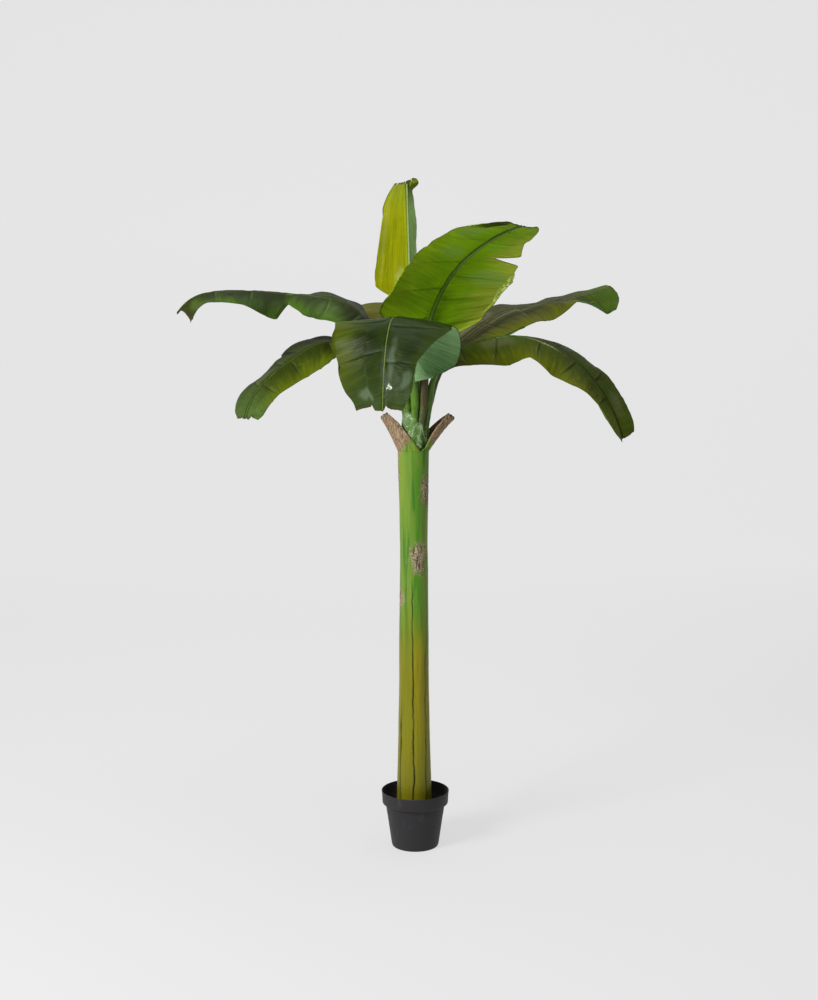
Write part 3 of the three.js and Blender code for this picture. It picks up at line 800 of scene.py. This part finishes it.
def blade_place(leaf, rib):
    def place(x, y, z):
        s, t = (y + 1) / 2 * tip_cut(leaf, x), x
        over = blade_point(leaf, rib, s, t + NUDGE) - blade_point(leaf, rib, s, t - NUDGE)
        ahead = (blade_point(leaf, rib, clamp(s + NUDGE), t)
                 - blade_point(leaf, rib, clamp(s - NUDGE), t))
        normal = np.cross(over, ahead)
        normal /= np.linalg.norm(normal, axis=1)[:, None] + 1e-12
        spots = blade_point(leaf, rib, s, t) + normal * relief_of(leaf, s, t)[0][:, None]
        return spots.T
    return place


def rod_place(leaf, rib):
    """Stalk and rib: round at the neck, flatter under the blade, and thin at the tip."""
    stalk, length = leaf.stalk, leaf.stalk + leaf.blade
    foot = [(0, 0.0126), (0.2 * stalk, 0.0138), (0.7 * stalk, 0.0120)]
    if leaf.foot_out < STALK_RING / 2:
        foot = [(0, 0.0215), (0.3 * stalk, 0.0190), (0.7 * stalk, 0.0100)]
    wide = foot + [(stalk, 0.0080), (stalk + 0.1, 0.0056), (length, 0.0020)]
    tall = foot[:2] + [(0.7 * stalk, 0.0100), (stalk, 0.0085), (stalk + 0.1, 0.0060), (length, 0.0018)]
    sunk = [(0, 0), (0.75 * stalk, 0), (stalk + 0.05, 1), (length, 1)]

    def place(x, y, z):
        distance = z * (stalk + leaf.blade * ROD_SHARE)
        point, _, up, right = on_rib(leaf, rib, distance)
        flat = (distance < 1e-6)[:, None] * np.array([0, 0, 1.0])
        up, right = up - flat * up, right - flat * right
        up /= np.linalg.norm(up, axis=1)[:, None]
        right /= np.linalg.norm(right, axis=1)[:, None]
        depth = along(tall, distance)
        channel = 0.25 * clamp(y) ** 6 * clamp(distance / stalk)
        lower = along(sunk, distance) * (depth + 0.0020)
        spots = point + right * (x * along(wide, distance))[:, None]
        return (spots + up * (y * depth * (1 - channel) - lower)[:, None]).T
    return place


def leaf_cloth(name, leaf, tones, rough, gloss, rib_tone, rib_and_fold_shade):
    """Printed cloth with veins, painted light and shade on patches, folds and the rib's groove, painted
    glints, and a brown edge and tip.
    """
    new_finish(name)
    middle, left, right, tip = tones
    web = add("UVMap", {}, uv_map="UVMap").outputs["UV"]
    parts = add("SeparateXYZ", {0: web})
    across = calc("MULTIPLY_ADD", parts.outputs["X"], 2, -1)
    away = calc("ABSOLUTE", across)
    rib_near, fold_shade_and_highlight, brown, painted_light_shade = read_map("leaf")

    def web_noise(scale_across, scale_along, detail=2.0):
        place = add("Mapping", {"Vector": web, "Scale": (scale_across, scale_along, 1)}).outputs[0]
        place = add("VectorMath", {0: place, 1: (leaf.seed, 0, 0)}, operation="ADD").outputs[0]
        return noise(place, 1, detail, noise_dimensions="2D")

    # streak: fine veins. row, band: narrow and broad bands along them. cloud: soft blotches.
    if leaf.lengthwise:
        streak, cloud = web_noise(70, 5, 3), web_noise(14, 1.6)
        band, row = web_noise(22, 1.2), web_noise(34, 1.5)
    else:
        streak, cloud = web_noise(3, leaf.blade / VEIN_SPACING, 3), web_noise(4, 7)
        band, row = (web_noise(1.2, leaf.blade / BAND_SPACING),
                     web_noise(1.6, leaf.blade / ROW_SPACING))
    margin = mixed(calc("GREATER_THAN", across, 0), left, right)
    color = mixed(reach(shifted_by(away, band, 0.7), *leaf.fade), middle, margin)
    color = mixed(reach(parts.outputs["Y"], 0.72, 1.0), color, tip)
    for share, pattern, dark, light in (
            (0.65, streak, (0.55, 0.55, 0.5, 1), (1.5, 1.5, 1.45, 1)),
            (0.4, row, (0.4, 0.45, 0.4, 1), (1.6, 1.55, 1.5, 1)),
            (0.55, cloud, (0.5, 0.55, 0.6, 1), (1.5, 1.45, 1.3, 1))):
        color = mixed(share, color, mixed(pattern, dark, light), way="MULTIPLY")
    # Painted sheen on the light patches, painted shade on the dark ones, and painted glints on the brightest.
    color = mixed(times(reach(painted_light_shade, 0.5, 1.0), 0.65), color, leaf.sheen)
    shade = mixed(1.0, color, (0.28, 0.3, 0.28, 1), way="MULTIPLY")
    color = mixed(reach(painted_light_shade, 0.5, 0.0), color, shade)
    painted_glints = times(reach(web_noise(50, 120), 0.47, 0.56), reach(painted_light_shade, 0.93, 1.0))
    color = mixed(painted_glints, color, leaf.glint)
    # Painted shade along the rib's groove, then the rib's own tone on its line.
    color = mixed(times(reach(rib_near, 0.15, 0.6), 0.7), color, rib_and_fold_shade)
    color = mixed(reach(rib_near, 0.84, 0.96), color, rib_tone)
    # Painted shade on the fold lines, and a painted highlight on the ridge beside each.
    color = mixed(times(fold_shade_and_highlight, 0.6), color, rib_and_fold_shade)
    color = mixed(times(fold_shade_and_highlight, -0.45), color, leaf.sheen)
    color = mixed(times(reach(away, 0.986, 0.998), 0.6), color, (64, 60, 16))
    color = mixed(brown, color, (64, 52, 30))
    roughness = spread(cloud, rough - 0.12, rough + 0.12)
    height = calc("ADD", streak, times(band, 0.4))
    return surface(color, roughness, height, 0.0009, gloss)


def stalk_finish():
    new_finish("stalk_skin")
    rib, dry, pale, _ = read_map("stalk")
    streak = grain(180, 4, 0.2)
    green, brown = stalk_tones()
    color = mixed(times(dry, reach(streak, 0.2, 0.5)), green, brown)
    color = mixed(rib, color, mixed(streak, (34, 66, 4), (66, 104, 14)))
    color = mixed(pale, color, mixed(streak, (100, 128, 66), (134, 156, 90)))
    return surface(color, 0.4, streak, 0.0008, 0.35)


def make_leaf(name, **own_values):
    """A leaf with its stalk, by its own values and the usual ones."""
    leaf = SimpleNamespace(**{**USUAL_LEAF, **own_values})
    rib = rib_of(leaf)
    deselect()
    bpy.ops.mesh.primitive_grid_add(x_subdivisions=LEAF_ACROSS, y_subdivisions=LEAF_ALONG, size=2)
    blade = bpy.context.object
    blade.name = blade.data.name = "leaf_" + name + "_cloth"
    start = shaped(blade, blade_place(leaf, rib))
    s, t = (start[1] + 1) / 2, start[0]
    _, rib_near, fold_shade_and_highlight = relief_of(leaf, s * tip_cut(leaf, t), t)
    from_tip = (1 - s) * leaf.blade + 0.004 * ripple(t * 9 + 10, 0, leaf.seed + 11)
    # The map holds nearness to the rib, painted fold shade and highlight, the brown tip, and painted light
    # and shade patches.
    write_map(blade, "leaf", rib_near, fold_shade_and_highlight, clamp(1 - from_tip / BROWN_TIP), painted_light_shade_of(leaf, s, t))
    # The last tone of each face is the painted shade of the rib groove and the folds.
    for face, *looks in (("upper", leaf.upper, leaf.rough, leaf.gloss, leaf.line, (20, 30, 2)),
                         ("under", leaf.under, 0.65, 0.06, (62, 100, 10), (46, 78, 4))):
        blade.data.materials.append(leaf_cloth("leaf_" + name + "_" + face, leaf, *looks))
    wall = blade.modifiers.new("wall", "SOLIDIFY")
    wall.thickness = BLADE_THICK
    wall.offset = 0
    wall.material_offset = 1
    bpy.ops.object.modifier_apply(modifier="wall")
    rod = cylinder("rod", 16, (12, 12))
    start = shaped(rod, rod_place(leaf, rib))
    past_foot = start[2] * (leaf.stalk + leaf.blade) - leaf.stalk
    write_map(rod, "stalk", clamp(past_foot / 0.08), leaf.dry,
              along(leaf.pale, past_foot / leaf.blade))
    rod.data.materials.append(stalk_skin)
    blade.select_set(True)
    bpy.context.view_layer.objects.active = blade
    bpy.ops.object.join()
    bpy.ops.object.shade_smooth_by_angle(angle=math.radians(50))
    hand_in(blade, None, "leaf_" + name)


# What a leaf's values say, in metres and degrees. A place runs from 0 to 1 along the blade, and for
# lean and roll along stalk and blade. Across runs from -1 at the left margin to 1 at the right one,
# seen from above with the tip ahead. Pairs are for the left and the right half.
# foot, foot_out: bearing and distance of the foot from the neck's axis. bearing: where the leaf heads.
# lean: the rib's angle from upright. roll: turn about the rib. half: half widths. left, right: place,
# fold at the rib and curl. taper: narrowing. tip: where the rounded end starts. slant: how far veins
# and folds run forward. tears: place, depth as a share of the width, or bulge below 0, and reach before
# and after. hem: side, start and share that is turned over. folds: places of the cross folds. askew:
# what it adds to their slant. fading: width of the margin where they fade out.
# ragged: size of the frayed end. slits: size of the slits in it. worn: cut from the end, by place
# across. lopsided: cut more on the right. lengthwise: streaks run along the blade.
# upper, under: tones of the middle, left margin, right margin and tip. fade: where the middle's tone
# passes into the margins'. tints: patches of painted light and shade by place, across,
# reach along and across, strength, which paints shade below 0, and softness. sheen: tone of the painted
# sheen on the light ones. glint: tone of the painted glints on the brightest.
# gloss, rough, line: shine, roughness and rib tone above. dry, pale: how brown and pale the stalk is.
USUAL_LEAF = dict(
    foot_out=STALK_RING, left=[(0, 10, 10), (1, 20, 10)], right=[(0, 10, 10), (1, 20, 10)],
    roll=[(0, 0)], taper=0.4, tip=0.85, slant=0.36, hem=("", 1, 0),
    askew=(0, 0), fading=0.5, ragged=0.06, slits=0.8, worn=[(0, 0)], lopsided=0, lengthwise=False,
    under=((60, 96, 48), (76, 112, 50), (76, 112, 50), (66, 96, 34)), fade=(0.25, 1.0), tints=(),
    sheen=(100, 116, 76), glint=(214, 218, 140), gloss=0.06, rough=0.6, line=(62, 78, 12),
    dry=0.5, pale=[(0, 0)])
stalk_skin = stalk_finish()
make_leaf(
    "front_up", seed=100, foot=-60, stalk=0.19, blade=0.583, bearing=-50, roll=[(0, -22), (1, -14)],
    lean=[(0, 2), (0.293, 8), (0.391, 29), (0.537, 45), (0.684, 61), (0.83, 70), (1, 80)],
    half=(0.17, 0.174), left=[(0, 0, 10), (1, 0, 10)], right=[(0, 5, 10), (1, 5, 10)],
    tears=([(0.39, -0.22, 0.31, 0.17), (0.47, -0.05, 0.06, 0.08), (0.55, -0.08, 0.06, 0.015),
            (0.59, 0.5, 0.03, 0.07), (0.78, 0.28, 0.18, 0.3)],
           [(0.55, -0.04, 0.3, 0.3), (0.36, 0.04, 0.02, 0.04), (0.5, 0.04, 0.02, 0.04),
            (0.72, -0.08, 0.08, 0.1), (0.96, 0.3, 0.12, 0.2), (1, 0.2, 0.3, 0.01)]), taper=0.35, tip=0.7,
    hem=("right", 0.75, 0.26), ragged=0.03, lopsided=0.03,
    folds=([0.1, 0.26, 0.42, 0.74, 0.88], [0.16, 0.34, 0.54, 0.76, 0.92]), askew=(-0.3, 0.3), fading=0.9,
    tints=[(0.42, -0.6, 0.1, 0.45, 0.75), (0.36, -1.0, 0.2, 0.11, 2.4), (0.22, -0.5, 0.07, 0.5, -0.3),
           (0.58, 0.4, 0.08, 0.35, 0.6), (0.8, 0.7, 0.12, 0.4, 0.7), (0.7, -0.5, 0.08, 0.5, 0.3),
           (0.97, 0.8, 0.14, 0.3, -0.8, 0.15)],
    upper=((40, 58, 6), (50, 60, 4), (90, 110, 10), (62, 76, 8)),
    # The underside's tones are painted brighter, as painted light for the light that shines through the leaf.
    under=((122, 168, 10), (158, 174, 54), (138, 174, 24), (118, 152, 34)), sheen=(128, 168, 76),
    glint=(226, 234, 116), dry=1, pale=[(0.4, 0), (0.6, 0.45), (1, 0.6)])
make_leaf(
    "front_low", seed=117, foot=-100, stalk=0.085, blade=0.69, bearing=-102,
    lean=[(0, 5), (0.138, 25), (0.336, 57), (0.444, 65), (0.523, 77), (0.671, 133), (0.82, 163),
          (1, 178)], half=(0.185, 0.172), left=[(0, 57, 10), (0.4, 9, 10), (1, -5, 10)],
    right=[(0, -6, 5), (0.4, 7, 5), (1, 38, 5)],
    tears=([(0.2, -0.18, 0.18, 0.2), (0.74, 0.46, 0.24, 3)], []), taper=0.08, tip=0.7, ragged=0.012,
    slits=0, lopsided=0.02,
    worn=[(-1, 0.016), (-0.5, 0.012), (-0.3, 0.016), (-0.2, 0.026), (-0.1, 0.006), (0, 0), (0.4, 0),
          (0.46, 0.03), (0.56, 0.018), (1, 0.012)],
    folds=([0.15, 0.34, 0.62, 0.8], [0.18, 0.38, 0.56, 0.75]),
    tints=[(0.93, 0.55, 0.04, 0.3, 0.6), (0.8, -0.22, 0.14, 0.16, 0.5), (0.915, -0.24, 0.014, 0.13, 2.6),
           (0.46, -0.7, 0.03, 0.35, 0.9), (0.66, 0.45, 0.1, 0.35, -0.6), (0.72, -0.65, 0.12, 0.3, -0.5),
           (0.86, -0.75, 0.06, 0.22, 0.6)], upper=((28, 42, 2), (34, 50, 2), (62, 74, 0), (46, 62, 26)),
    under=((122, 162, 112), (134, 172, 122), (134, 172, 122), (116, 150, 102)), gloss=0.1, rough=0.38,
    line=(88, 108, 26), sheen=(104, 120, 98), glint=(208, 214, 204), dry=0)
make_leaf(
    "upright", seed=134, foot=200, foot_out=0.008, stalk=0.316, blade=0.377, bearing=180, roll=[(0, 90)],
    lean=[(0, 2), (1, 2)], half=(0.104, 0.11),
    left=[(0, -75, 0), (0.88, -70, 0), (0.96, -15, 0), (1, -10, 0)], right=[(0, -5, 10), (1, -10, 10)],
    tears=([(0.45, 0.18, 0.45, 0.45), (1, -0.3, 0.1, 0.01)], []), taper=0.52, tip=0.66, slant=0.35,
    ragged=0.04, lopsided=0.02, folds=([], []), lengthwise=True, fade=(0.0, 0.12),
    tints=[(0.14, 0.3, 0.2, 0.2, 0.6), (0.55, 0.85, 0.5, 0.12, 0.3)],
    # Its tones are painted lighter, as painted light for the left half that faces away from the lamps.
    upper=((104, 128, 54), (124, 146, 66), (108, 122, 0), (120, 134, 20)),
    under=((132, 140, 2), (146, 182, 110), (130, 136, 0), (118, 128, 24)), gloss=0.15, rough=0.45,
    sheen=(188, 190, 112), dry=0, pale=[(0, 1)])
make_leaf(
    "left_high", seed=151, foot=180, stalk=0.12, blade=0.794, bearing=185,
    lean=[(0, 8), (0.2, 31), (0.31, 30), (0.482, 83.4), (0.75, 87.5), (0.88, 98), (1, 146)],
    half=(0.164, 0.155),
    left=[(0, 28, 10), (0.3, 30, 10), (0.51, 18, 10), (0.54, 33, 10), (0.68, 17, 10), (0.8, 14, 10),
          (0.9, 34, 10), (1, 50, 10)], right=[(0, -12, 10), (0.35, -8, 10), (0.5, 0, 10), (1, 0, 10)],
    tears=([(0.52, 0.36, 0.09, 0.01)], []), tip=0.9, ragged=0.006, slits=0, lopsided=-0.035,
    worn=[(-1, 0.014), (-0.6, 0), (0.05, 0), (0.12, 0.012), (0.2, 0), (0.6, 0), (1, 0.012)],
    folds=([0.12, 0.26, 0.4, 0.7, 0.84], [0.15, 0.33, 0.52, 0.7, 0.86]),
    tints=[(0.36, -0.6, 0.1, 0.5, 0.5), (0.66, -0.5, 0.13, 0.8, -0.6, 0.12),
           (0.22, -0.35, 0.02, 0.5, -0.9), (0.6, -0.06, 0.3, 0.07, 0.6), (0.92, -0.5, 0.06, 0.5, 0.4)],
    upper=((38, 50, 2), (56, 86, 0), (32, 40, 0), (38, 44, 6)),
    under=((60, 96, 48), (76, 112, 50), (76, 112, 50), (70, 104, 44)), gloss=0.1, sheen=(92, 124, 54),
    dry=0.3)
make_leaf(
    "right_high", seed=168, foot=20, stalk=0.11, blade=0.718, bearing=25, roll=[(0, 15)],
    lean=[(0, 13), (0.17, 28), (0.27, 49), (0.47, 65), (0.55, 78), (0.67, 82), (0.9, 77.5), (1, 72)],
    half=(0.15, 0.158), left=[(0, 8, 0), (0.3, 8, 4), (0.6, 12, 10)],
    right=[(0, -6, 10), (0.5, 1, 10), (0.66, -18, 10), (0.74, -8, 10), (0.85, 24, 10), (1, 24, 10)],
    tears=([(0.95, 0.2, 0.2, 0.2)], [(0.95, 0.17, 0.25, 0.2), (0.22, 0.08, 0.2, 0.1)]), taper=0.36,
    tip=0.93, ragged=0.01, slits=0, lopsided=0.015,
    worn=[(0, 0), (0.2, -0.003), (0.5, -0.004), (0.7, 0.014), (1, 0.07)],
    folds=([0.16, 0.34, 0.55, 0.75], [0.14, 0.32, 0.5, 0.66, 0.8]),
    tints=[(0.25, -0.5, 0.15, 0.5, 0.8), (0.45, 0.15, 0.3, 0.06, 0.5), (0.4, 0.35, 0.3, 0.08, -0.5)],
    upper=((54, 56, 26), (46, 50, 8), (80, 84, 0), (58, 84, 12)),
    under=((60, 96, 40), (76, 112, 46), (76, 112, 46), (66, 96, 34)), line=(104, 104, 56),
    sheen=(120, 118, 100), dry=0.8)
make_leaf(
    "left_low", seed=185, foot=220, stalk=0.11, blade=0.602, bearing=194, roll=[(0, -11), (1, -27)],
    lean=[(0, 16), (0.17, 45), (0.33, 48), (0.45, 92), (0.6, 122), (0.8, 131), (1, 170)],
    half=(0.127, 0.174), left=[(0, 35, 0), (0.2, 15, 4), (0.4, 6, 6), (0.7, 7, 10), (1, 15, 10)],
    right=[(0, 24, 0), (0.3, 19, 0), (0.52, 16, 0), (0.56, 14, 10), (0.7, 18, 10), (1, 5, 10)],
    tears=([(0, 0.6, 0.01, 0.36), (0.42, -0.34, 0.16, 0.3), (0.78, -0.12, 0.2, 0.2)],
           [(0.545, 0.12, 0.012, 0.02)]), taper=0.55, ragged=0.01, slits=0,
    worn=[(-1, 0.026), (-0.6, 0.022), (-0.5, 0.03), (-0.45, 0), (-0.12, 0.006), (-0.05, 0), (0.3, 0),
          (0.38, 0.012), (0.46, 0)], folds=([0.2, 0.4, 0.62, 0.8], [0.18, 0.36, 0.66, 0.82]),
    tints=[(0.3, 0.6, 0.18, 0.5, -0.5), (0.54, 0.6, 0.02, 0.4, -0.9), (0.75, 0.4, 0.14, 0.4, 0.4)],
    upper=((46, 56, 10), (72, 84, 2), (42, 50, 8), (66, 88, 38)),
    under=((60, 96, 48), (76, 112, 50), (76, 112, 50), (70, 100, 40)), line=(80, 96, 34), dry=0.2)
make_leaf(
    "right_low", seed=202, foot=-20, stalk=0.11, blade=0.782, bearing=-15,
    roll=[(0, 6), (0.45, 5), (0.75, 16), (1, 20)],
    lean=[(0, 4), (0.12, 18), (0.2, 54), (0.33, 74), (0.48, 96), (0.6, 121.5), (0.75, 138.5), (1, 167)],
    half=(0.124, 0.126), left=[(0, 34, 10), (0.3, 20, 10), (0.5, 4, 10), (0.8, -10, 10), (1, -15, 10)],
    right=[(0, 14, 10), (0.3, 44, 10), (0.54, 31, 8), (0.74, 2, 10), (1, -18, 10)],
    tears=([(0.52, -0.36, 0.12, 0.05), (0.66, 0.12, 0.06, 0.16)],
           [(0.42, 0.27, 0.12, 0.12), (0.61, 0.03, 0.05, 0.08), (0.8, 0.24, 0.14, 0.24)]), taper=0.44,
    ragged=0.012, slits=0,
    worn=[(-1, 0.034), (-0.6, 0.018), (0, 0.004), (0.3, 0), (0.38, 0.022), (0.46, 0.004), (1, 0.004)],
    folds=([0.16, 0.35, 0.54, 0.74], [0.15, 0.3, 0.48, 0.64, 0.82]),
    tints=[(0.3, 0.22, 0.14, 0.3, 0.35), (0.5, 0.1, 0.1, 0.05, 0.9), (0.06, 0.4, 0.08, 0.8, -0.8),
           (0.54, -0.2, 0.12, 0.14, -0.9), (0.86, -0.4, 0.08, 0.4, 0.4)],
    upper=((50, 62, 10), (52, 66, 14), (82, 88, 2), (72, 88, 20)),
    under=((60, 96, 40), (76, 112, 46), (76, 112, 46), (66, 96, 34)), sheen=(120, 120, 92), dry=0.1)
make_leaf(
    "back", seed=219, foot=100, stalk=0.13, blade=0.67, bearing=112,
    lean=[(0, 4), (0.2, 15), (0.45, 67), (0.6, 88), (1, 98)], half=(0.15, 0.15),
    tears=([(0.62, 0.3, 0.02, 0.03)], []), folds=([0.15, 0.33, 0.5, 0.76], [0.18, 0.38, 0.58, 0.78]),
    upper=((72, 74, 16), (110, 104, 30), (104, 100, 24), (70, 80, 20)),
    under=((70, 92, 26), (112, 108, 32), (100, 108, 26), (76, 96, 28)))
make_leaf(
    "back_right", seed=236, foot=60, stalk=0.12, blade=0.7, bearing=74,
    lean=[(0, 10), (0.2, 38), (0.45, 76), (0.7, 105), (1, 130)], half=(0.15, 0.14),
    tears=([], [(0.55, 0.35, 0.03, 0.02)]), folds=([0.16, 0.36, 0.56, 0.76], [0.14, 0.32, 0.46, 0.7]),
    upper=((42, 62, 12), (76, 90, 2), (84, 92, 0), (56, 74, 20)))
make_leaf(
    "back_left", seed=253, foot=140, stalk=0.115, blade=0.68, bearing=150,
    lean=[(0, 8), (0.2, 40), (0.35, 75), (0.5, 103), (0.7, 122), (1, 140)], half=(0.125, 0.125),
    left=[(0, 25, 10), (1, 25, 10)], right=[(0, 0, 10), (1, 0, 10)],
    tears=([], [(0.66, 0.3, 0.02, 0.03)]), folds=([0.15, 0.35, 0.55, 0.75], [0.18, 0.36, 0.52, 0.8]),
    upper=((42, 60, 12), (72, 84, 4), (84, 92, 0), (58, 74, 20)))
